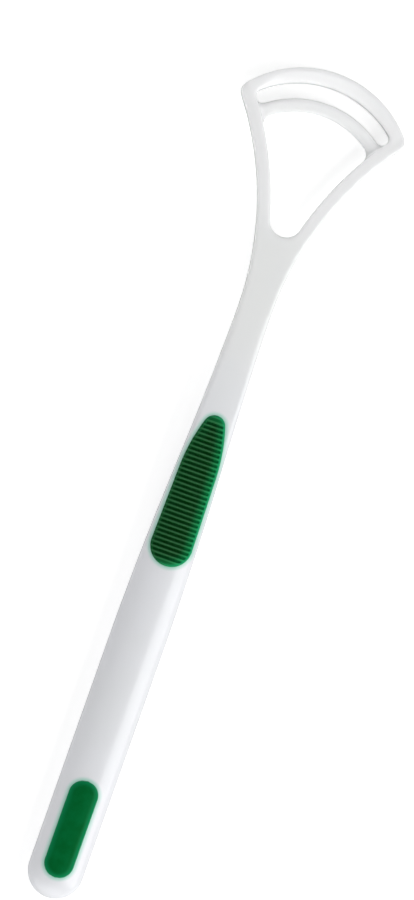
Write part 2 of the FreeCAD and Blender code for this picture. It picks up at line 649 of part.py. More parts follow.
# Places of the grips' seats. The thumb grip's seat lies along the handle's rising top.
tail_seat = SimpleNamespace(
    y=size.tail_grip_start - half_length,
    z=size.handle_height - size.seat_depth,
    slope=size.head_tilt * 0,
    length=size.tail_grip_length,
    peg_spacing=size.tail_peg_spacing,
    outline=tail_grip_outline,
)
thumb_low = top_height((size.thumb_grip_start - size.taper_start) / taper_length)
thumb_high = top_height((size.thumb_grip_start + size.thumb_grip_length - size.taper_start) / taper_length)
thumb_seat = SimpleNamespace(
    y=size.thumb_grip_start - half_length,
    z=thumb_low - size.seat_depth,
    slope=to_angle("atan", (thumb_high - thumb_low) / size.thumb_grip_length),
    length=size.thumb_grip_length,
    peg_spacing=size.thumb_peg_spacing,
    outline=thumb_grip_outline,
)


def on_seat_floor(body, name, seat):
    """A sketch on a seat's floor, with its origin under the grip's lower end and its Y along the grip."""
    return new_sketch(body, name, "XY_Plane", (None, seat.y, seat.z), Vector(1, 0, 0), seat.slope)


def peg_circles(sketch, seat, radius):
    """Two circles, one at each peg."""
    for name, place in (("low", seat.length / 2 - seat.peg_spacing / 2),
                        ("high", seat.length / 2 + seat.peg_spacing / 2)):
        centre = Vector(0, place.value, 0)
        circle = sketch.addGeometry(Part.Circle(centre, Vector(0, 0, 1), radius.value), False)
        fix(sketch, "PointOnObject", circle, CENTRE, UPRIGHT_AXIS)
        drive(sketch, f"{name}_radius", radius, "Radius", circle)
        drive(sketch, f"{name}_place", place, "DistanceY", *ORIGIN, circle, CENTRE)


def frame_rectangle(sketch, half_width, low, high):
    """A rectangle from low before the sketch's origin to high after it."""
    right = half_width.value
    corners = [(-right, -low.value), (right, -low.value), (right, high.value), (-right, high.value)]
    sides = [line(sketch, corners[index], corners[(index + 1) % 4]) for index in range(4)]
    close_path(sketch, [forward(piece) for piece in sides], sides)
    for level in (sides[0], sides[2]):
        fix(sketch, "Horizontal", level)
    for upright in (sides[1], sides[3]):
        fix(sketch, "Vertical", upright)
    drive(sketch, "frame_right", half_width, "DistanceX", *ORIGIN, sides[0], END)
    drive(sketch, "frame_left", half_width, "DistanceX", sides[0], START, *ORIGIN)
    drive(sketch, "frame_low", low, "DistanceY", sides[0], START, *ORIGIN)
    drive(sketch, "frame_high", high, "DistanceY", *ORIGIN, sides[2], START)


def edges_where(made, wanted):
    """Names of a feature's edges whose middle passes a test."""
    names = []
    for index, edge in enumerate(made.Shape.Edges, start=1):
        middle = edge.valueAt((edge.FirstParameter + edge.LastParameter) / 2)
        if wanted(middle):
            names.append(f"Edge{index}")
    return names


def keep_inside(body, name, seat, inset):
    """Cuts away everything outside a grip's outline."""
    sketch = on_seat_floor(body, name + "_outline", seat)
    frame_rectangle(sketch, size.handle_width * 2, size.handle_length, size.handle_length)
    seat.outline(sketch, inset)
    return feature(body, "Pocket", name, Profile=sketch, Type="ThroughAll", SideType="Symmetric")


def make_scraper_body():
    body = doc.addObject("PartDesign::Body", "scraper_body")
    outline = head_outline(body)
    plate = feature(body, "Pad", "head_plate", Profile=outline, SideType="Symmetric", Length=size.neck_height)
    to_head = outline.Placement.inverse()
    face_height = size.neck_height.value / 2

    def on_rim(point):
        local = to_head.multVec(point)
        return abs(abs(local.z) - face_height) < 1e-6 and local.y > 1e-6

    feature(body, "Fillet", "head_edges", Base=(plate, edges_where(plate, on_rim)), Radius=size.edge_round)
    inner_section = inner_arc_section(body)
    inner_middle = inner_arc_radius - size.inner_arc_width / 2
    feature(body, "Revolution", "inner_arc", Profile=inner_section, ReferenceAxis=(inner_section, ["Axis0"]),
            Midplane=True, Angle=arm_angle(inner_middle, inner_arc_centre) * 2)
    inner_edge = inner_arc_radius - size.inner_arc_width
    for name, edge_radius, bend, outward in (
        ("window_webs", inner_edge, size.window_corner_round, False),
        ("slot_webs", inner_arc_radius, size.slot_corner_round, True),
    ):
        web_outline = corner_webs(body, f"{name}_outline", edge_radius, bend, outward)
        feature(body, "Pad", name, Profile=web_outline, Reversed=True, Length=size.web_height)
    lip_section = outer_lip_section(body)
    outer_middle = size.outer_arc_radius - size.outer_arc_width / 2
    feature(body, "Revolution", "outer_lip", Profile=lip_section, ReferenceAxis=(lip_section, ["Axis0"]),
            Midplane=True, Angle=arm_angle(outer_middle, outer_arc_centre) * 2)

    flush = size.grip_proud * 0
    sections = [tapered_section(body, f"handle_section_{index}", share, flush)
                for index, share in enumerate(SECTION_SHARES)]
    sections.append(neck_section(body, "neck_section"))
    feature(body, "AdditiveLoft", "tapered_handle", Profile=sections[0],
            Sections=[(section, [""]) for section in sections[1:]])
    feature(body, "Pad", "straight_handle", Profile=sections[0],
            Length=size.taper_start - size.handle_width / 2)
    tail_section = handle_section(
        body, "tail_section",
        station=size.handle_width / 2,
        width=size.handle_width,
        bottom=flush,
        top=size.handle_height,
        top_round=size.handle_top_round,
        bottom_round=size.handle_bottom_round,
        crown=size.handle_crown,
        half=True,
    )
    feature(body, "Revolution", "tail_end", Profile=tail_section, ReferenceAxis=(tail_section, ["V_Axis"]),
            Angle=180, Reversed=True)
    for name, seat in (("tail", tail_seat), ("thumb", thumb_seat)):
        seat_sketch = on_seat_floor(body, f"{name}_seat_outline", seat)
        seat.outline(seat_sketch, size.grip_clearance * -1)
        feature(body, "Pocket", f"{name}_seat", Profile=seat_sketch, Reversed=True, Length=size.handle_height)
        peg_sketch = on_seat_floor(body, f"{name}_peg_circles", seat)
        peg_circles(peg_sketch, seat, size.peg_diameter / 2 + size.grip_clearance)
        feature(body, "Pocket", f"{name}_peg_holes", Profile=peg_sketch,
                Length=size.peg_length + size.grip_clearance)
    return body


def finish_grip(body, name, seat):
    """Cuts a raised piece of handle down to a grip on its seat, rounds its edge and adds its pegs."""
    floor_sketch = on_seat_floor(body, f"{name}_floor", seat)
    frame_rectangle(floor_sketch, size.handle_width * 2, size.handle_length, size.handle_length)
    feature(body, "Pocket", f"{name}_underside", Profile=floor_sketch, Type="ThroughAll")
    blank = keep_inside(body, f"{name}_sides", seat, size.grip_clearance * 0)
    to_seat = floor_sketch.Placement.inverse()

    def height(point):
        return to_seat.multVec(point).z

    def is_wall(face):
        heights = [height(vertex.Point) for vertex in face.Vertexes]
        return min(heights) < 1e-6 < max(heights)

    walls = [face for face in blank.Shape.Faces if is_wall(face)]

    def walls_beside(edge_name):
        edge = blank.Shape.getElement(edge_name)
        return sum(any(edge.isSame(side) for side in wall.Edges) for wall in walls)

    above_floor = edges_where(blank, lambda point: height(point) > 1e-6)
    rim = [edge_name for edge_name in above_floor if walls_beside(edge_name) == 1]
    feature(body, "Fillet", f"{name}_edge", Base=(blank, rim), Radius=size.grip_edge_round)
    peg_sketch = on_seat_floor(body, f"{name}_pegs_outline", seat)
    peg_circles(peg_sketch, seat, size.peg_diameter / 2)
    feature(body, "Pad", f"{name}_pegs", Profile=peg_sketch, Reversed=True, Length=size.peg_length)
    return body


def make_tail_grip():
    body = doc.addObject("PartDesign::Body", "tail_grip")
    section = handle_section(
        body, "tail_grip_section",
        station=size.tail_grip_start + size.tail_grip_length + size.tail_grip_width,
        width=size.handle_width + size.grip_proud * 2,
        bottom=size.handle_height * 0,
        top=size.handle_height + size.grip_proud,
        top_round=size.handle_top_round + size.grip_proud,
        bottom_round=size.handle_bottom_round,
        crown=size.handle_crown + size.grip_proud,
    )
    feature(body, "Pad", "tail_grip_blank", Profile=section,
            Length=size.tail_grip_length + size.tail_grip_width * 2)
    return finish_grip(body, "tail_grip", tail_seat)


def make_thumb_grip():
    body = doc.addObject("PartDesign::Body", "thumb_grip_blank")
    sections = [tapered_section(body, f"thumb_grip_section_{index}", share, size.grip_proud)
                for index, share in enumerate(SECTION_SHARES)]
    feature(body, "AdditiveLoft", "thumb_grip_raised", Profile=sections[0],
            Sections=[(section, [""]) for section in sections[1:]])
    finish_grip(body, "thumb_grip", thumb_seat)

    grooves = doc.addObject("PartDesign::Body", "rib_grooves")
    sketch = new_sketch(grooves, "rib_groove", "YZ_Plane", (thumb_seat.y, thumb_seat.z, None),
                        Vector(0, 0, 1), thumb_seat.slope)
    floor = size.seat_depth + size.grip_proud - size.rib_groove_depth
    bend = size.rib_groove_width / 2
    middle = size.rib_first
    top = floor + size.rib_groove_depth * 3
    axis_depth = size.rib_curve_radius - floor
    near = middle.value - bend.value
    far = middle.value + bend.value
    knee = floor.value + bend.value
    axis = line(sketch, (0, -axis_depth.value), (middle.value, -axis_depth.value), construction=True)
    near_side = line(sketch, (near, top.value), (near, knee))
    bottom = arc(sketch, (middle.value, knee), bend.value, (near, knee), (far, knee))
    far_side = line(sketch, (far, knee), (far, top.value))
    lid = line(sketch, (far, top.value), (near, top.value))
    close_path(sketch, [forward(piece) for piece in (near_side, bottom, far_side, lid)], (far_side, lid))
    fix(sketch, "Vertical", near_side)
    fix(sketch, "Horizontal", lid)
    fix(sketch, "Vertical", far_side)
    fix(sketch, "Horizontal", axis)
    fix(sketch, "PointOnObject", axis, START, UPRIGHT_AXIS)
    drive(sketch, "axis_depth", axis_depth, "DistanceY", axis, START, *ORIGIN)
    drive(sketch, "axis_length", middle, "DistanceX", axis, START, axis, END)
    drive(sketch, "groove_bend", bend, "Radius", bottom)
    drive(sketch, "groove_middle", middle, "DistanceX", *ORIGIN, bottom, CENTRE)
    drive(sketch, "groove_knee", floor + bend, "DistanceY", *ORIGIN, bottom, CENTRE)
    drive(sketch, "groove_top", top, "DistanceY", *ORIGIN, lid, START)
    sweep = to_angle("asin", size.thumb_grip_width / 2 / size.rib_curve_radius) * 2
    groove = feature(grooves, "Revolution", "groove", Profile=sketch, ReferenceAxis=(sketch, ["Axis0"]),
                     Midplane=True, Angle=sweep)
    count = whole((size.thumb_grip_length - size.rib_first * 2) / size.rib_pitch) + 1
    pattern = feature(grooves, "LinearPattern", "groove_row", Originals=[groove],
                      Direction=(sketch, ["H_Axis"]), Length=(count - 1) * size.rib_pitch, Occurrences=count)
    grooves.Tip = pattern
    doc.recompute()
    keep_inside(grooves, "groove_ends", thumb_seat, size.rib_border)

    grip = doc.addObject("Part::Cut", "thumb_grip")
    grip.Base = body
    grip.Tool = grooves
    doc.recompute()
    return grip


def check(pieces):
    for item in doc.Objects:
        if "Invalid" in item.State or "Error" in item.State:
            raise RuntimeError(f"{item.Name} did not build: {item.State} {item.getStatusString()}")
    for piece in pieces:
        if piece.Shape.isNull() or not piece.Shape.isValid() or len(piece.Shape.Solids) != 1:
            raise RuntimeError(f"{piece.Label} is not one valid solid")


def main():
    pieces = [make_scraper_body(), make_tail_grip(), make_thumb_grip()]
    doc.recompute()
    check(pieces)
    os.makedirs("parts", exist_ok=True)
    for piece in pieces:
        piece.Shape.exportStep(f"parts/{piece.Label}.step")
        box = piece.Shape.BoundBox
        print(f"{piece.Label}: {piece.Shape.Volume:.1f} mm3, Y {box.YMin:.2f} to {box.YMax:.2f}, "
              f"X {box.XMin:.2f} to {box.XMax:.2f}, Z {box.ZMin:.2f} to {box.ZMax:.2f}")


main()
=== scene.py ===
import math

import bmesh
import bpy
from mathutils import Matrix, Vector


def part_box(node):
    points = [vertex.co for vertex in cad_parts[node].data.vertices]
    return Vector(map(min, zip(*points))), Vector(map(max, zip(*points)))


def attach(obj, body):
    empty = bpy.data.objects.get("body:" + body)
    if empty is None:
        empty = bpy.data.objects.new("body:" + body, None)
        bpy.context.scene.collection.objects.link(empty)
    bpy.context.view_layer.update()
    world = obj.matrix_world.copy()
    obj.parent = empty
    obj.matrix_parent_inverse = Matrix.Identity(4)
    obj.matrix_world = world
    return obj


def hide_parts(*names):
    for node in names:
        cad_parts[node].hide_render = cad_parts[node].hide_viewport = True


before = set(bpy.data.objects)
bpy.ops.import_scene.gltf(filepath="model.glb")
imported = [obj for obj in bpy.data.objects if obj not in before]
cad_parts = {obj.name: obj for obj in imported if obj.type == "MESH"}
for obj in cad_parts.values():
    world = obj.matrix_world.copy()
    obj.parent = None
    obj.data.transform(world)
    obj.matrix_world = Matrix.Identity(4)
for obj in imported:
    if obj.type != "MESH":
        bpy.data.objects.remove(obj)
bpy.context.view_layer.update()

MM = 0.001
PHOTO_HEIGHT = 900

# The handle. Stations along it are measured from the tail.
HANDLE_LENGTH = 128.3 * MM
HANDLE_WIDTH = 11.6 * MM
HANDLE_HEIGHT = 6.6 * MM
HANDLE_CROWN = 9 * MM
TOP_ROUND = 2.2 * MM
BOTTOM_ROUND = 2 * MM
TAPER_START = 60 * MM
TAPER_EASE = 0.08
CROWN_LOSS = 0.98
# Mesh steps over half of the handle's section: underside, lower edge, side, upper edge, crown.
RING_STEPS = (6, 8, 4, 10, 20)

# The neck and the head. The head is a flat plate that dips towards its tip.
NECK_WIDTH = 7.2 * MM
NECK_RISE = 5.32 * MM
PLATE = 3 * MM
EDGE_ROUND = 0.9 * MM
HEAD_LENGTH = 51.79 * MM
HEAD_DIP = math.radians(3)
FLANK_RADIUS = 68 * MM
ARM_WIDTH = 2.8 * MM
CORNER_ROUND = 2.2 * MM
CROTCH_ROUND = 3.4 * MM
TIP_RADIUS = 22.65 * MM
OUTER_ARC_WIDTH = 3.4 * MM
SLOT_RADIUS = 21.6 * MM
SLOT_END_ROUND = 1.3 * MM
SLOT_WIDTH = 3.1 * MM
INNER_ARC_RADIUS = 20.4 * MM
INNER_ARC_WIDTH = 2.9 * MM
LIP_REACH = 2.7 * MM
LIP_ROUND = 0.3 * MM
HALF_LIP = 0.5 * MM
WINDOW_WEB_ROUND = 2.0 * MM
SLOT_WEB_ROUND = 1.2 * MM
WEB_LOW = -1.0 * MM
WEB_HIGH = 0.1 * MM

# Places that follow from those sizes and from the frame. On the head, a point is given across and along it.
tail_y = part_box("scraper_body")[0][1]
neck_y = tail_y + HANDLE_LENGTH
head_place = Matrix.Translation((0, neck_y, NECK_RISE)) @ Matrix.Rotation(-HEAD_DIP, 4, "X")
inner_wall = FLANK_RADIUS + ARM_WIDTH
hub = (NECK_WIDTH / 2 + FLANK_RADIUS, 0)
tip = (0, HEAD_LENGTH - TIP_RADIUS)
slot = (0, HEAD_LENGTH - OUTER_ARC_WIDTH - SLOT_RADIUS)
bow = (0, HEAD_LENGTH - OUTER_ARC_WIDTH - SLOT_WIDTH - INNER_ARC_RADIUS)
inner_edge = INNER_ARC_RADIUS - INNER_ARC_WIDTH
crotch = (0, math.sqrt((inner_wall + CROTCH_ROUND) ** 2 - hub[0] ** 2))

# The smooth neck and head take over from the handle just past the end of the thumb grip.
tail_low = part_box("tail_grip")[0][1]
thumb_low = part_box("thumb_grip")[0][1]
thumb_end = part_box("thumb_grip")[1][1]
HANDLE_END = thumb_end + 2.3 * MM
HEAD_START = thumb_end + 4.3 * MM
SPARE_LENGTH = 3.2 * MM
OVERLAP = 1 * MM

# The green grips stand a little proud of the handle and are let into it.
GRIP_PROUD = 0.39 * MM
GRIP_EDGE_WIDTH = 1.1 * MM
GRIP_EDGE_DROP = 0.34 * MM
GRIP_DEPTH = 2 * MM
RIB_PITCH = 1 * MM
RIB_FIRST = 1.72 * MM
RIB_DEPTH = 0.5 * MM
RIB_BORDER = 0.6 * MM
HALF_GROOVE = 0.42 * MM

# Fineness of the meshes.
ROW_STEP = 0.5 * MM
TAIL_STEPS = 18
DRAWN_STEP = 0.3 * MM
FEWEST_STEPS = 6
BAR_STEPS = 120
VOXEL = 0.2 * MM
WELD = 0.0005 * MM
CUT_SLACK = 1e-8
SHARP_FROM = math.radians(40)


class Field:
    """A value that varies over a surface: a node's output that Python arithmetic can use."""

    def __init__(self, finish, socket):
        self.finish = finish
        self.socket = socket

    def reckon(self, operation, *terms):
        return self.finish.node("ShaderNodeMath", {"operation": operation}, dict(enumerate(terms)))

    def output(self, name):
        return Field(self.finish, self.socket.node.outputs[name])

    def __add__(self, other):
        return self.reckon("ADD", self, other)

    def __radd__(self, other):
        return self.reckon("ADD", other, self)

    def __sub__(self, other):
        return self.reckon("SUBTRACT", self, other)

    def __rsub__(self, other):
        return self.reckon("SUBTRACT", other, self)

    def __mul__(self, other):
        return self.reckon("MULTIPLY", self, other)

    def __rmul__(self, other):
        return self.reckon("MULTIPLY", other, self)

    def __abs__(self):
        return self.reckon("ABSOLUTE", self)

    def at_least(self, other):
        return self.reckon("MAXIMUM", self, other)

    def above(self, limit):
        """1 where the value is above the limit, and 0 elsewhere."""
        return self.reckon("GREATER_THAN", self, limit)

    def root(self):
        return self.reckon("SQRT", self)

    def cosine(self):
        return self.reckon("COSINE", self)


class Finish:
    """A material's or the world's node tree, built one node at a time."""

    def __init__(self, owner):
        self.owner = owner
        owner.use_nodes = True
        self.tree = owner.node_tree
        self.tree.nodes.clear()

    def node(self, kind, settings=None, sockets=None):
        """Adds a node: its settings first, then the value or link of each socket. Gives its first output."""
        made = self.tree.nodes.new(kind)
        for name, value in (settings or {}).items():
            setattr(made, name, value)
        for name, value in (sockets or {}).items():
            if isinstance(value, Field):
                self.tree.links.new(value.socket, made.inputs[name])
            else:
                made.inputs[name].default_value = value
        return Field(self, made.outputs[0]) if made.outputs else None

    def place(self):
        """The point on the piece, in metres, and its three coordinates."""
        point = self.node("ShaderNodeTexCoord").output("Object")
        split = self.node("ShaderNodeSeparateXYZ", None, {0: point})
        return point, split.output("X"), split.output("Y"), split.output("Z")

    def noise(self, point, grain, detail=3.0, roughness=0.5):
        """Even noise from 0 to 1 whose lumps are about the grain's length across."""
        return self.node("ShaderNodeTexNoise", None, {
            "Vector": point, "Scale": 1 / grain, "Detail": detail, "Roughness": roughness,
        })

    def ramp(self, value, start, end, low=0.0, high=1.0):
        """Goes smoothly from low, at start, to high, at end, and stays there."""
        return self.node("ShaderNodeMapRange", {"interpolation_type": "SMOOTHSTEP"}, {
            "Value": value, "From Min": start, "From Max": end, "To Min": low, "To Max": high,
        })

    def blend(self, share, first, second):
        """One colour turning into another. Each is a colour or an earlier blend."""
        mixed = self.node("ShaderNodeMix", {"data_type": "RGBA"})
        node = mixed.socket.node
        for socket, value in zip((node.inputs[0], node.inputs[6], node.inputs[7]), (share, first, second)):
            if isinstance(value, Field):
                self.tree.links.new(value.socket, socket)
            else:
                socket.default_value = value
        return Field(self, node.outputs[2])

    def bump(self, height, depth):
        return self.node("ShaderNodeBump", None, {"Height": height, "Distance": depth, "Strength": 1.0})

    def surface(self, shader):
        self.node("ShaderNodeOutputMaterial", None, {"Surface": shader})
        return self.owner


def colour(red, green, blue):
    return (red, green, blue, 1.0)


def new_finish(name):
    return Finish(bpy.data.materials.new(name))


def white_plastic():
    """Milky moulded plastic, cooler on the handle than on the neck, with painted light: a paler top on the
    head, a brighter strip along the arms' window side, and a painted green glow beside the green grips.
    """
    handle_white = colour(0.845, 0.855, 0.885)
    neck_white = colour(0.87, 0.88, 0.875)
    cloud_white = colour(0.83, 0.845, 0.86)
    painted_head_light = colour(0.895, 0.90, 0.905)
    painted_window_light = colour(0.96, 0.965, 0.975)
    painted_grip_glow = colour(0.33, 0.73, 0.58)
    finish = new_finish("white_plastic")
    point, x, y, z = finish.place()
    tone = finish.blend(finish.ramp(y, 5 * MM, 40 * MM), handle_white, neck_white)
    clouds = finish.noise(point, 14 * MM)
    tone = finish.blend(finish.ramp(clouds, 0.42, 0.68, 0.0, 0.5), tone, cloud_white)

    along = y - neck_y
    up = z - NECK_RISE + along * math.tan(HEAD_DIP)
    # Painted light: the top of the head is painted paler, standing in for light on and through the thin
    # plate.
    fork = finish.ramp(along, crotch[1] - CROTCH_ROUND - 3 * MM, crotch[1] + 4 * MM)
    fork_top = fork * finish.ramp(up, -0.3 * MM, 0.9 * MM)
    tone = finish.blend(fork_top, tone, painted_head_light)
    # Painted light: a brighter strip along the arms' window side, painted on the top of the head.
    from_hub = abs(x) - hub[0]
    into_window = (from_hub * from_hub + along * along).root() - inner_wall
    window_light_share = finish.ramp(into_window, -1.6 * MM, -0.1 * MM) * fork_top
    tone = finish.blend(window_light_share, tone, painted_window_light)

    # Painted light: a green glow on the top of the white plastic beside each grip, standing in for light that
    # the green grips pass into it.
    top_side = finish.ramp(z, 3.5 * MM, 5.5 * MM)
    for outline, low_y in ((TAIL_OUTLINE, tail_low), (THUMB_OUTLINE, thumb_low)):
        glow_share = finish.ramp(outline.depth_field(x, y - low_y), -1.0 * MM, 0.0, 0.0, 0.8) * top_side
        tone = finish.blend(glow_share, tone, painted_grip_glow)
    rubbed = finish.noise(point, 5 * MM, 4.0)
    fine = finish.noise(point, 0.35 * MM, 2.0)
    shader = finish.node("ShaderNodeBsdfPrincipled", None, {
        "Base Color": tone,
        "Roughness": finish.ramp(rubbed, 0.3, 0.7, 0.15, 0.24),
        "IOR": 1.46,
        "Subsurface Weight": 0.3,
        "Subsurface Radius": (1.0, 1.0, 1.0),
        "Subsurface Scale": 1.6 * MM,
        "Normal": finish.bump(fine, 0.004 * MM),
    })
    return finish.surface(shader)


def thumb_green():
    """Ribbed soft plastic, mottled, with painted light: grooves painted dark as shade, ribs painted paler as
    sheen, and a lit edge painted in, strongest on the right side.
    """
    shaded_groove_green = colour(0.0005, 0.045, 0.0045)
    sheen_rib_green = colour(0.032, 0.131, 0.048)
    worn_green = colour(0.014, 0.095, 0.034)
    lit_rim_groove = colour(0.002, 0.165, 0.045)
    lit_rim_rib = colour(0.014, 0.280, 0.086)
    painted_edge_light = colour(0.010, 0.33, 0.127)
    finish = new_finish("thumb_green")
    point, x, y, _ = finish.place()
    along = y - thumb_low
    # Painted shade and sheen: the grooves are painted dark as shade and the ribs painted paler as sheen.
    wave = ((along - RIB_FIRST) * (2 * math.pi / RIB_PITCH)).cosine()
    crest = finish.ramp(wave, 0.1, -0.9)
    mottle = finish.noise(point, 1.3 * MM, 4.0, 0.6)
    tone = finish.blend(crest, shaded_groove_green, sheen_rib_green)
    tone = finish.blend(finish.ramp(mottle, 0.35, 0.7, 0.0, 0.3), tone, worn_green)

    # Painted light: a lit rim and a brighter edge line inside the outline, strongest on the right side, where
    # the light falls on the grip.
    depth = THUMB_OUTLINE.depth_field(x, along)
    right_light_share = finish.ramp(x, -3.5 * MM, 3.5 * MM, 0.06, 1.0)
    rim = finish.ramp(depth, 0.5 * MM, 2.6 * MM, 1.0, 0.0) * right_light_share
    tone = finish.blend(rim, tone, finish.blend(crest, lit_rim_groove, lit_rim_rib))
    edge = finish.ramp(depth, 0.05 * MM, 0.8 * MM, 1.0, 0.0) * right_light_share
    tone = finish.blend(edge, tone, painted_edge_light)
    grain = finish.noise(point, 0.12 * MM, 2.0)
    shader = finish.node("ShaderNodeBsdfPrincipled", None, {
        "Base Color": tone,
        "Roughness": finish.ramp(mottle, 0.3, 0.7, 0.42, 0.58),
        "Specular IOR Level": 0.06,
        "Normal": finish.bump(grain, 0.012 * MM),
    })
    return finish.surface(shader)


def tail_green():
    """Plain soft plastic, brighter than the thumb grip and free of wear, with painted light at its edge: a
    lit rim and a brighter edge line.
    """
    deep_green = colour(0.0005, 0.115, 0.023)
    pale_green = colour(0.001, 0.140, 0.034)
    painted_rim_light = colour(0.004, 0.215, 0.072)
    painted_edge_light = colour(0.02, 0.27, 0.12)
    finish = new_finish("tail_green")
    point, x, y, _ = finish.place()
    clouds = finish.noise(point, 3 * MM, 3.0)
    tone = finish.blend(finish.ramp(clouds, 0.3, 0.7), deep_green, pale_green)
    # Painted light: a lit rim and a brighter edge line just inside the outline.
    depth = TAIL_OUTLINE.depth_field(x, y - tail_low)
    tone = finish.blend(finish.ramp(depth, 0.1 * MM, 1.3 * MM, 1.0, 0.0), tone, painted_rim_light)
    tone = finish.blend(finish.ramp(depth, 0.05 * MM, 0.3 * MM, 1.0, 0.0), tone, painted_edge_light)
    grain = finish.noise(point, 0.15 * MM, 2.0)
    shader = finish.node("ShaderNodeBsdfPrincipled", None, {
        "Base Color": tone,
        "Roughness": finish.ramp(clouds, 0.3, 0.7, 0.3, 0.4),
        "Specular IOR Level": 0.02,
        "Normal": finish.bump(grain, 0.006 * MM),
    })
    return finish.surface(shader)


def dress(piece, material):
    piece.data.materials.clear()
    piece.data.materials.append(material)


def mix(first, last, share):
    return first + (last - first) * share


def share_between(value, start, end):
    """How far a value has come from start to end, from 0 to 1."""
    return min(max((value - start) / (end - start), 0), 1)


def eased(value, start, end):
    """The same, with a soft start and a soft end."""
    share = share_between(value, start, end)
    return share * share * (3 - 2 * share)


def polar(centre, radius, degrees):
    angle = math.radians(degrees)
    return (centre[0] + radius * math.cos(angle), centre[1] + radius * math.sin(angle))


def towards(start, point, reach):
    """The point at a given distance from start, in the direction of another point."""
    gap = math.dist(start, point)
    return (mix(start[0], point[0], reach / gap), mix(start[1], point[1], reach / gap))


def meet(centre_a, radius_a, centre_b, radius_b):
    """The crossing of two circles that lies to the right on the way from centre_a to centre_b."""
    gap = math.dist(centre_a, centre_b)
    along = (radius_a ** 2 - radius_b ** 2 + gap ** 2) / (2 * gap)
    aside = math.sqrt(radius_a ** 2 - along ** 2)
    ahead = ((centre_b[0] - centre_a[0]) / gap, (centre_b[1] - centre_a[1]) / gap)
    return (
        centre_a[0] + along * ahead[0] + aside * ahead[1],
        centre_a[1] + along * ahead[1] - aside * ahead[0],
    )


class HandleSection:
    """The handle cut square across at a station, which is a distance from the tail."""

    def __init__(self, station):
        share = share_between(station, TAPER_START, HANDLE_LENGTH)
        settled = eased(station, TAPER_START, HANDLE_LENGTH)
        narrowed = share - TAPER_EASE * math.sin(2 * math.pi * share)
        lift = (HANDLE_LENGTH - TAPER_START) * math.tan(HEAD_DIP) * share * share * (1 - share)
        self.side = mix(HANDLE_WIDTH, NECK_WIDTH, narrowed) / 2
        self.bottom = mix(0, NECK_RISE - PLATE / 2, settled) + lift
        self.top = mix(HANDLE_HEIGHT, NECK_RISE + PLATE / 2, settled) + lift
        self.top_round = mix(TOP_ROUND, EDGE_ROUND, settled)
        self.bottom_round = mix(BOTTOM_ROUND, EDGE_ROUND, settled)
        self.crown = HANDLE_CROWN / (1 - CROWN_LOSS * share * share)

    def top_at(self, x):
        """Height of the crowned top at a distance from the middle."""
        return self.top - self.crown + math.sqrt(self.crown ** 2 - x * x)

    def half_ring(self):
        """Points of the right half, from the middle of the underside to the middle of the top."""
        shoulder_x = self.side - self.top_round
        rise = math.sqrt((self.crown - self.top_round) ** 2 - shoulder_x ** 2)
        shoulder = (shoulder_x, self.top - self.crown + rise)
        lean = math.degrees(math.atan2(rise, shoulder_x))
        foot = (self.side - self.bottom_round, self.bottom + self.bottom_round)
        under, bend, wall, brow, crown = RING_STEPS
        ring = [(foot[0] * step / under, self.bottom) for step in range(under)]
        ring += [polar(foot, self.bottom_round, mix(-90, 0, step / bend)) for step in range(bend)]
        ring += [(self.side, mix(foot[1], shoulder[1], step / wall)) for step in range(wall)]
        ring += [polar(shoulder, self.top_round, mix(0, lean, step / brow)) for step in range(brow)]
        peak = (0, self.top - self.crown)
        ring += [polar(peak, self.crown, mix(lean, 90, step / crown)) for step in range(crown + 1)]
        return ring


def open_edges(skin):
    return [edge for edge in skin.edges if edge.is_boundary]


def close_ends(skin):
    bmesh.ops.holes_fill(skin, edges=open_edges(skin), sides=0)
    bmesh.ops.recalc_face_normals(skin, faces=skin.faces)
    return skin


def handle_skin(rows):
    """Skin of the handle through rows of points, each a closed ring round it."""
    around = len(rows[0])
    skin = bmesh.new()
    bmesh.ops.create_grid(skin, x_segments=around, y_segments=len(rows) - 1, size=0.5)
    for vertex in skin.verts:
        column = round((vertex.co.x + 0.5) * around) % around
        row = round((vertex.co.y + 0.5) * (len(rows) - 1))
        vertex.co = rows[row][column]
    bmesh.ops.remove_doubles(skin, verts=skin.verts, dist=WELD)
    return close_ends(skin)


def full_ring(half, place):
    """Both halves of a section, with each of its points put in its place by a function of x and z."""
    right = [place(x, z) for x, z in half]
    left = [place(-x, z) for x, z in half[-2:0:-1]]
    return right + left


def cross_rows(start, end):
    """Rings square across the handle from one station to another."""
    count = math.ceil((end - start) / ROW_STEP)
    for index in range(count + 1):
        station = mix(start, end, index / count)
        yield full_ring(HandleSection(station).half_ring(), lambda x, z: Vector((x, tail_y + station, z)))


def tail_rows():
    """Rings that fan out round the tail, from its very end to the start of the straight handle."""
    middle = tail_y + HANDLE_WIDTH / 2
    half = HandleSection(0).half_ring()
    for index in range(TAIL_STEPS):
        angle = math.pi / 2 * index / TAIL_STEPS
        aside = math.sin(angle)
        back = math.cos(angle)
        yield full_ring(half, lambda x, z: Vector((x * aside, middle - abs(x) * back, z)))


def carry_round(skin, vertex, centre, end):
    """Draws an arc on the head by carrying a vertex round a centre to an end point."""
    start_angle = math.atan2(vertex.co.y - centre[1], vertex.co.x - centre[0])
    turn = math.atan2(end[1] - centre[1], end[0] - centre[0]) - start_angle
    turn = math.remainder(turn, 2 * math.pi)
    steps = max(FEWEST_STEPS, round(abs(turn) * math.dist(vertex.co.xy, centre) / DRAWN_STEP))
    drawn = bmesh.ops.spin(skin, geom=[vertex], cent=(*centre, 0), axis=(0, 0, 1), angle=turn, steps=steps)
    return drawn["geom_last"][0]


def draw(skin, start, arcs):
    """Draws arcs in a row, each by its centre and end point. Gives the first and the last vertex."""
    first = last = skin.verts.new((*start, 0))
    for centre, end in arcs:
        last = carry_round(skin, last, centre, end)
    return first, last


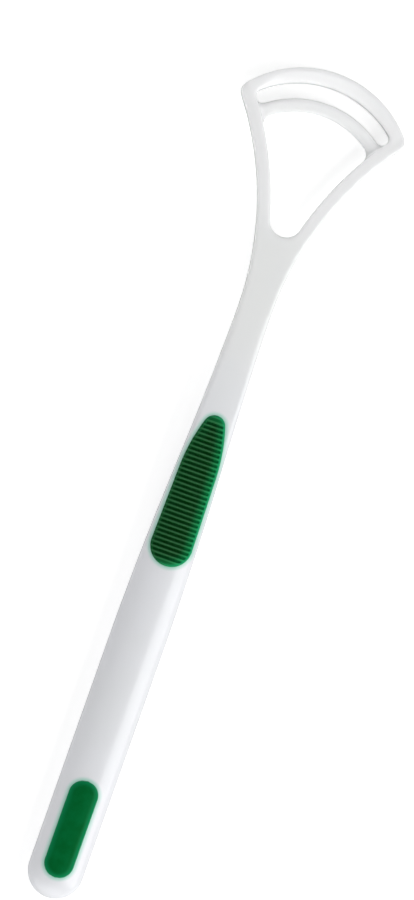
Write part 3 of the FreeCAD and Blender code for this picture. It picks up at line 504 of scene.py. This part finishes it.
def thicken(skin, low, high):
    """Fills the drawn outlines and gives them a thickness, from low to high."""
    bmesh.ops.triangle_fill(skin, edges=skin.edges[:], use_beauty=True)
    bmesh.ops.translate(skin, vec=(0, 0, low), verts=skin.verts)
    risen = bmesh.ops.extrude_face_region(skin, geom=skin.faces[:])["geom"]
    corners = [item for item in risen if isinstance(item, bmesh.types.BMVert)]
    bmesh.ops.translate(skin, vec=(0, 0, high - low), verts=corners)
    bmesh.ops.recalc_face_normals(skin, faces=skin.faces)
    return skin


def mirror_across(skin):
    bmesh.ops.mirror(skin, geom=skin.verts[:] + skin.edges[:] + skin.faces[:], matrix=Matrix.Identity(4),
                     merge_dist=WELD, axis="X")


def head_plate():
    """The fork and the outer arc: an outer edge and one opening, drawn on the right and mirrored."""
    corner = meet(hub, FLANK_RADIUS + CORNER_ROUND, tip, TIP_RADIUS - CORNER_ROUND)
    slot_end = meet(hub, inner_wall + SLOT_END_ROUND, slot, SLOT_RADIUS - SLOT_END_ROUND)
    skin = bmesh.new()
    _, neck_side = draw(skin, (0, HEAD_LENGTH), [
        (tip, towards(tip, corner, TIP_RADIUS)),
        (corner, towards(hub, corner, FLANK_RADIUS)),
        (hub, (NECK_WIDTH / 2, 0)),
    ])
    skin.edges.new((neck_side, skin.verts.new((0, 0, 0))))
    draw(skin, (0, slot[1] + SLOT_RADIUS), [
        (slot, towards(slot, slot_end, SLOT_RADIUS)),
        (slot_end, towards(hub, slot_end, inner_wall)),
        (hub, towards(hub, crotch, inner_wall)),
        (crotch, (0, crotch[1] - CROTCH_ROUND)),
    ])
    mirror_across(skin)
    return thicken(skin, -PLATE / 2, PLATE / 2)


def corner_web(bend, edge, outward):
    """A thin web that rounds the corner between an arm and one edge of the inner arc, on both sides."""
    side = 1 if outward else -1
    buried = 0.9 * MM
    centre = meet(hub, inner_wall + bend, bow, edge + side * bend)
    skin = bmesh.new()
    first, last = draw(skin, towards(hub, centre, inner_wall), [(centre, towards(bow, centre, edge))])
    inside = skin.verts.new((*meet(hub, inner_wall - buried, bow, edge - side * buried), 0))
    skin.edges.new((last, inside))
    skin.edges.new((inside, first))
    thicken(skin, WEB_LOW, WEB_HIGH)
    mirror_across(skin)
    bmesh.ops.recalc_face_normals(skin, faces=skin.faces)
    return skin


def arm_angle(radius, centre):
    """Angle from the tip at which an arc of the head comes to the middle of an arm."""
    reach = math.dist(hub, centre)
    arm_middle = FLANK_RADIUS + ARM_WIDTH / 2
    spread = math.acos((radius ** 2 + reach ** 2 - arm_middle ** 2) / (2 * radius * reach))
    return math.atan2(centre[1], hub[0]) + math.pi / 2 - spread


def arc_bar(section, centre):
    """Sweeps a section round an arc of the head. A point of it is a distance from the centre and a height."""
    skin = bmesh.new()
    corners = [skin.verts.new((0, centre[1] + reach, height)) for reach, height in section]
    for corner, following in zip(corners, corners[1:] + corners[:1]):
        skin.edges.new((corner, following))
    middle = (min(section)[0] + max(section)[0]) / 2
    half_turn = arm_angle(middle, centre)
    bmesh.ops.rotate(skin, cent=(*centre, 0), matrix=Matrix.Rotation(-half_turn, 3, "Z"), verts=skin.verts)
    bmesh.ops.spin(skin, geom=skin.verts[:] + skin.edges[:], cent=(*centre, 0), axis=(0, 0, 1),
                   angle=2 * half_turn, steps=BAR_STEPS)
    return close_ends(skin)


def lip_edge(middle):
    """The rounded lower edge of a scraping lip, as points of an arc's section."""
    corner = LIP_ROUND - LIP_REACH
    return [(middle + HALF_LIP, corner), (middle, -LIP_REACH), (middle - HALF_LIP, corner)]


def inner_arc():
    """The inner scraping arc: its top slopes down towards the handle, and it tapers to a lip below."""
    near = inner_edge
    far = INNER_ARC_RADIUS
    near_side = [(near, -0.75 * MM), (near, -0.3 * MM)]
    sloped_top = [(near + 0.6 * MM, 0.05 * MM), (far - 0.8 * MM, 0.5 * MM), (far - 0.25 * MM, 0.45 * MM)]
    far_side = [(far, 0.15 * MM), (far, -0.4 * MM)]
    return arc_bar(near_side + sloped_top + far_side + lip_edge((near + far) / 2), bow)


def outer_lip():
    """The scraping lip under the outer arc."""
    middle = TIP_RADIUS - OUTER_ARC_WIDTH / 2
    half_root = 0.9 * MM
    return arc_bar([(middle - half_root, 0), (middle + half_root, 0)] + lip_edge(middle), tip)


def joined(skins):
    whole = bmesh.new()
    for skin in skins:
        mesh = bpy.data.meshes.new("blank")
        skin.to_mesh(mesh)
        whole.from_mesh(mesh)
        bpy.data.meshes.remove(mesh)
    return whole


def worked(skin, kind, **settings):
    """A skin after one of the modifiers that rework a whole mesh."""
    mesh = bpy.data.meshes.new("blank")
    skin.to_mesh(mesh)
    blank = bpy.data.objects.new("blank", mesh)
    bpy.context.scene.collection.objects.link(blank)
    tool = blank.modifiers.new("tool", kind)
    for name, value in settings.items():
        setattr(tool, name, value)
    result = bmesh.new()
    result.from_object(blank, bpy.context.evaluated_depsgraph_get())
    bpy.data.objects.remove(blank)
    bpy.data.meshes.remove(mesh)
    return result


def cut_across(skin, y, keep_head):
    """Cuts the skin square across at y, and keeps the side towards the head or the side towards the tail."""
    everything = skin.verts[:] + skin.edges[:] + skin.faces[:]
    bmesh.ops.bisect_plane(skin, geom=everything, dist=CUT_SLACK, plane_co=(0, y, 0), plane_no=(0, 1, 0),
                           clear_inner=keep_head, clear_outer=not keep_head)


def soften(skin, rounds, chosen):
    """Smooths the chosen vertices of a skin, a little more with each round."""
    for _ in range(rounds):
        bmesh.ops.smooth_vert(skin, verts=chosen, factor=0.5,
                              use_axis_x=True, use_axis_y=True, use_axis_z=True)


def slope_outer_arc(skin):
    """Slopes the outer arc's top down from a ridge near its far edge to the handle, but not at the arms."""
    drop = 1.1 * MM
    ridge = TIP_RADIUS - 0.9 * MM
    near = TIP_RADIUS - OUTER_ARC_WIDTH
    spare = 0.5 * MM
    fade_start = 10.5 * MM
    fade_end = 15.5 * MM
    still_below = -0.9 * MM
    full_above = 0.6 * MM
    to_head = head_place.inverted()
    for vertex in skin.verts:
        across, along, up = to_head @ vertex.co
        reach = math.dist((across, along), tip)
        if along > tip[1] and reach > near - spare:
            fade = 1 - eased(abs(across), fade_start, fade_end)
            height = share_between(up, still_below, full_above)
            vertex.co.z -= drop * fade * height * share_between(reach, ridge, near)


def neck_and_head():
    """Neck, fork and arcs melted together into one softly moulded skin, open towards the handle."""
    plate_parts = [
        head_plate(),
        inner_arc(),
        outer_lip(),
        corner_web(WINDOW_WEB_ROUND, inner_edge, outward=False),
        corner_web(SLOT_WEB_ROUND, INNER_ARC_RADIUS, outward=True),
    ]
    for part in plate_parts:
        bmesh.ops.transform(part, matrix=head_place, verts=part.verts)
    neck_start = HEAD_START - SPARE_LENGTH - tail_y
    neck_end = HANDLE_LENGTH + OVERLAP
    neck = handle_skin(list(cross_rows(neck_start, neck_end)))
    skin = worked(joined([neck] + plate_parts), "REMESH", mode="VOXEL", voxel_size=VOXEL)

    # The whole skin is softened a little, its upper side more towards the head, and the neck's top the most.
    upper_from = -0.6 * MM
    whole_rounds = 3
    neck_rounds = 9
    last_rounds = 4
    last_from = 28 * MM
    to_head = head_place.inverted()
    upper = [vertex for vertex in skin.verts if (to_head @ vertex.co).z > upper_from]
    soften(skin, whole_rounds, skin.verts[:])
    for low_y, rounds in ((21 * MM, 4), (24 * MM, 6), (28 * MM, 8)):
        soften(skin, rounds, [vertex for vertex in upper if vertex.co.y > low_y])
    for low_y, high_y in ((24 * MM, 57 * MM), (26 * MM, 55 * MM), (28 * MM, 53 * MM)):
        soften(skin, neck_rounds, [vertex for vertex in upper if low_y < vertex.co.y < high_y])
    slope_outer_arc(skin)
    soften(skin, last_rounds, [vertex for vertex in upper if vertex.co.y > last_from])
    cut_across(skin, HEAD_START, keep_head=True)
    return skin


class GripOutline:
    """A grip's outline: a round low end, sides that lean in, a bow if there is one, and a round nose."""

    def __init__(self, low_radius, length, nose_radius, shoulder, lean=0.0, bow_radius=None):
        self.length = length
        self.low_radius = low_radius
        self.nose_radius = nose_radius
        self.shoulder = shoulder
        self.lean = lean
        self.nose = length - nose_radius
        self.side_start = low_radius * (1 + math.sin(lean))
        self.nose_start = self.nose
        self.bow_radius = bow_radius
        if bow_radius:
            shoulder_x = self.side_at(shoulder)
            self.bow = (shoulder_x - bow_radius * math.cos(lean), shoulder - bow_radius * math.sin(lean))
            rise = (self.nose - self.bow[1]) / math.dist(self.bow, (0, self.nose))
            self.nose_start = self.nose + nose_radius * rise

    def side_at(self, along):
        return self.low_radius / math.cos(self.lean) - (along - self.low_radius) * math.tan(self.lean)

    def half_width(self, along):
        if along < self.side_start:
            return math.sqrt(max(self.low_radius ** 2 - (along - self.low_radius) ** 2, 0))
        if along < self.shoulder:
            return self.side_at(along)
        if along < self.nose_start:
            return self.bow[0] + math.sqrt(self.bow_radius ** 2 - (along - self.bow[1]) ** 2)
        return math.sqrt(max(self.nose_radius ** 2 - (along - self.nose) ** 2, 0))

    def depth_inside(self, x, along):
        """Distance of a point from the outline, inwards."""
        x = abs(x)
        if along < self.side_start:
            return self.low_radius - math.hypot(x, along - self.low_radius)
        if along < self.shoulder:
            return (self.side_at(along) - x) * math.cos(self.lean)
        if along < self.nose_start:
            return self.bow_radius - math.dist((x, along), self.bow)
        return self.nose_radius - math.hypot(x, along - self.nose)

    def depth_field(self, x, along):
        """The same distance over a surface, for its finish. Outside the outline it is below zero."""
        x = abs(x)
        from_low = along - self.low_radius
        depth = self.low_radius - (x * x + from_low * from_low).root()
        beside = (self.side_at(along) - x) * math.cos(self.lean)
        depth = mix(depth, beside, along.above(self.side_start))
        if self.bow_radius:
            from_bow = along - self.bow[1]
            from_axis = x - self.bow[0]
            bowed = self.bow_radius - (from_axis * from_axis + from_bow * from_bow).root()
            depth = mix(depth, bowed, along.above(self.shoulder))
        from_nose = along - self.nose
        nosed = self.nose_radius - (x * x + from_nose * from_nose).root()
        return mix(depth, nosed, along.above(self.nose_start))


TAIL_OUTLINE = GripOutline(low_radius=3.1 * MM, length=20.9 * MM, nose_radius=3.1 * MM, shoulder=17.8 * MM)
THUMB_OUTLINE = GripOutline(low_radius=4.4 * MM, length=32.7 * MM, nose_radius=2.3 * MM, shoulder=20.4 * MM,
                            lean=math.radians(1.42), bow_radius=38 * MM)
RIB_LAST = RIB_FIRST + math.floor((THUMB_OUTLINE.length - 2 * RIB_FIRST) / RIB_PITCH) * RIB_PITCH


def no_groove(along, depth):
    return 0


def rib_groove(along, depth):
    """Depth of the groove between two ribs. It runs out before the grip's plain border."""
    off_middle = abs(math.remainder(along - RIB_FIRST, RIB_PITCH))
    if off_middle > HALF_GROOVE or not RIB_FIRST - HALF_GROOVE < along < RIB_LAST + HALF_GROOVE:
        return 0
    dip = 0.5 + 0.5 * math.cos(math.pi * off_middle / HALF_GROOVE)
    inside_border = eased(depth, RIB_BORDER - 0.25 * MM, RIB_BORDER + 0.15 * MM)
    return RIB_DEPTH * dip * inside_border


def grip_skin(outline, low_y, groove, across, along_step):
    """A grip: a crowned top inside its outline, and upright walls down to its floor."""
    rows = math.ceil(outline.length / along_step)
    edge_radius = (GRIP_EDGE_WIDTH ** 2 + GRIP_EDGE_DROP ** 2) / (2 * GRIP_EDGE_DROP)
    skin = bmesh.new()
    bmesh.ops.create_grid(skin, x_segments=across, y_segments=rows, size=0.5)
    for vertex in skin.verts:
        along = (vertex.co.y + 0.5) * outline.length
        x = outline.half_width(along) * math.sin(math.pi * vertex.co.x)
        depth = max(outline.depth_inside(x, along), 0)
        edge = max(GRIP_EDGE_WIDTH - depth, 0)
        shoulder = edge_radius - math.sqrt(edge_radius ** 2 - edge ** 2)
        top = HandleSection(low_y + along - tail_y).top_at(x)
        vertex.co = (x, low_y + along, top + GRIP_PROUD - shoulder - groove(along, depth))
    bmesh.ops.remove_doubles(skin, verts=skin.verts, dist=WELD)
    rim = bmesh.ops.extrude_edge_only(skin, edges=open_edges(skin))["geom"]
    foot = [item for item in rim if isinstance(item, bmesh.types.BMVert)]
    bmesh.ops.translate(skin, vec=(0, 0, -GRIP_DEPTH), verts=foot)
    return close_ends(skin), foot


def raised(skin, foot):
    """The room that a grip takes up in the handle: the grip with its top lifted well clear of it."""
    lift = 5 * MM
    feet = set(foot)
    for vertex in skin.verts:
        if vertex not in feet:
            vertex.co.z += lift
    return skin


def new_piece(name, skin, node, material):
    """Makes a finished piece that stands for a CAD node."""
    for face in skin.faces:
        face.smooth = True
    mesh = bpy.data.meshes.new(name)
    skin.to_mesh(mesh)
    mesh.set_sharp_from_angle(angle=SHARP_FROM)
    piece = bpy.data.objects.new(name, mesh)
    bpy.context.scene.collection.objects.link(piece)
    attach(piece, "root")
    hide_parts(node)
    dress(piece, material)


def seat_cut(skin, room):
    """Takes the room of a grip out of the handle."""
    mesh = bpy.data.meshes.new("room")
    room.to_mesh(mesh)
    cutter = bpy.data.objects.new("room", mesh)
    bpy.context.scene.collection.objects.link(cutter)
    result = worked(skin, "BOOLEAN", operation="DIFFERENCE", solver="EXACT", object=cutter)
    bpy.data.objects.remove(cutter)
    bpy.data.meshes.remove(mesh)
    return result


def build_tool():
    """The three pieces. The grips come first, because the handle is cut to take them."""
    tail_grip, tail_foot = grip_skin(
        TAIL_OUTLINE, tail_low, no_groove, across=40, along_step=0.25 * MM)
    thumb_grip, thumb_foot = grip_skin(
        THUMB_OUTLINE, thumb_low, rib_groove, across=44, along_step=RIB_PITCH / 12)
    new_piece("tail_inlay", tail_grip, "tail_grip", tail_green())
    new_piece("thumb_inlay", thumb_grip, "thumb_grip", thumb_green())

    straight_start = HANDLE_WIDTH / 2
    handle_stop = HANDLE_END + OVERLAP - tail_y
    handle = handle_skin(list(tail_rows()) + list(cross_rows(straight_start, handle_stop)))
    for grip, foot in ((tail_grip, tail_foot), (thumb_grip, thumb_foot)):
        handle = seat_cut(handle, raised(grip, foot))
    cut_across(handle, HANDLE_END, keep_head=False)
    body = joined([handle, neck_and_head()])
    bmesh.ops.bridge_loops(body, edges=open_edges(body))
    bmesh.ops.recalc_face_normals(body, faces=body.faces)
    new_piece("white_moulding", body, "scraper_body", white_plastic())


def table():
    """Pale table top. The camera sees it white, and the object's shadow stays on it."""
    half_size = 1.2
    glow_strength = 0.58
    top = bmesh.new()
    bmesh.ops.create_grid(top, x_segments=1, y_segments=1, size=half_size)
    mesh = bpy.data.meshes.new("table_top")
    top.to_mesh(mesh)
    piece = bpy.data.objects.new("table_top", mesh)
    bpy.context.scene.collection.objects.link(piece)
    finish = new_finish("table_top")
    matt = finish.node("ShaderNodeBsdfDiffuse", None, {"Color": colour(0.82, 0.82, 0.82)})
    seen = finish.node("ShaderNodeLightPath").output("Is Camera Ray")
    glow = finish.node("ShaderNodeEmission", None, {
        "Color": colour(1, 1, 1), "Strength": seen * glow_strength,
    })
    dress(piece, finish.surface(finish.node("ShaderNodeAddShader", None, {0: matt, 1: glow})))


def softbox(name, turn, lean, distance, width, height, brightness, aim=(0, 0, 0), mirrored=True):
    """A soft lamp: turn is its direction seen from above, lean its angle from straight above, in degrees.

    A lamp that isn't mirrored gives its light, but glossy surfaces don't show it.
    """
    turn = math.radians(turn)
    lean = math.radians(lean)
    direction = Vector((math.sin(lean) * math.cos(turn), math.sin(lean) * math.sin(turn), math.cos(lean)))
    lamp = bpy.data.lights.new(name, "AREA")
    lamp.shape = "RECTANGLE"
    lamp.size = width
    lamp.size_y = height
    lamp.energy = brightness * math.pi * width * height
    holder = bpy.data.objects.new(name, lamp)
    holder.location = Vector(aim) + direction * distance
    holder.rotation_euler = direction.to_track_quat("Z", "Y").to_euler()
    holder.visible_glossy = mirrored
    bpy.context.scene.collection.objects.link(holder)
    return lamp


def studio():
    """Soft light: a white room that looks brighter than it shines, softboxes, fills and two head lamps."""
    room_strength = 0.25
    head_beam = math.radians(14)
    world = bpy.data.worlds.new("studio")
    bpy.context.scene.world = world
    finish = Finish(world)
    path = finish.node("ShaderNodeLightPath")
    looked_at = path.output("Is Camera Ray").at_least(path.output("Is Glossy Ray"))
    looked_at = looked_at.at_least(path.output("Is Transmission Ray"))
    room = finish.node("ShaderNodeBackground", None, {
        "Color": colour(1, 1, 1), "Strength": finish.ramp(looked_at, 0, 1, room_strength, 1.0),
    })
    finish.node("ShaderNodeOutputWorld", None, {"Surface": room})
    softbox("key_softbox", turn=-12, lean=54, distance=0.62, width=0.55, height=0.42, brightness=3.9)
    softbox("low_softbox", turn=-95, lean=70, distance=0.75, width=0.8, height=0.5, brightness=1.6)
    softbox("left_fill", turn=178, lean=88, distance=0.7, width=1.0, height=0.25, brightness=2.5,
            aim=(0, 0, 30 * MM), mirrored=False)
    softbox("far_fill", turn=105, lean=86, distance=0.7, width=0.8, height=0.35, brightness=2.1,
            aim=(0, 60 * MM, 50 * MM), mirrored=False)
    for name, turn, lean, brightness in (("head_softbox", -75, 45, 0.135), ("head_side", 165, 74, 0.15)):
        lamp = softbox(name, turn, lean, distance=0.6, width=0.1, height=0.1, brightness=brightness,
                       aim=(0, 88 * MM, 4 * MM), mirrored=False)
        lamp.spread = head_beam


def photo_camera():
    """Nearly straight down on the tool, turned so that it leans to the right as it does in the photo."""
    pixel = 0.20595 * MM
    middle = Vector((0.38 * MM, 7.9 * MM, 4 * MM))
    distance = 1.0
    roll = math.radians(19.5)
    from_left = math.radians(2.5)
    lens = bpy.data.cameras.new("photo_camera")
    lens.sensor_fit = "VERTICAL"
    lens.sensor_height = 36
    lens.lens = lens.sensor_height * distance / (PHOTO_HEIGHT * pixel)
    lens.clip_start = 0.01
    lens.clip_end = 20
    turn = Matrix.Rotation(-from_left, 4, "Y")
    camera = bpy.data.objects.new("photo_camera", lens)
    camera.matrix_world = (Matrix.Translation(middle) @ turn @ Matrix.Translation((0, 0, distance))
                           @ Matrix.Rotation(roll, 4, "Z"))
    bpy.context.scene.collection.objects.link(camera)
    bpy.context.scene.camera = camera


bpy.context.scene.view_settings.view_transform = "Standard"
build_tool()
table()
studio()
photo_camera()
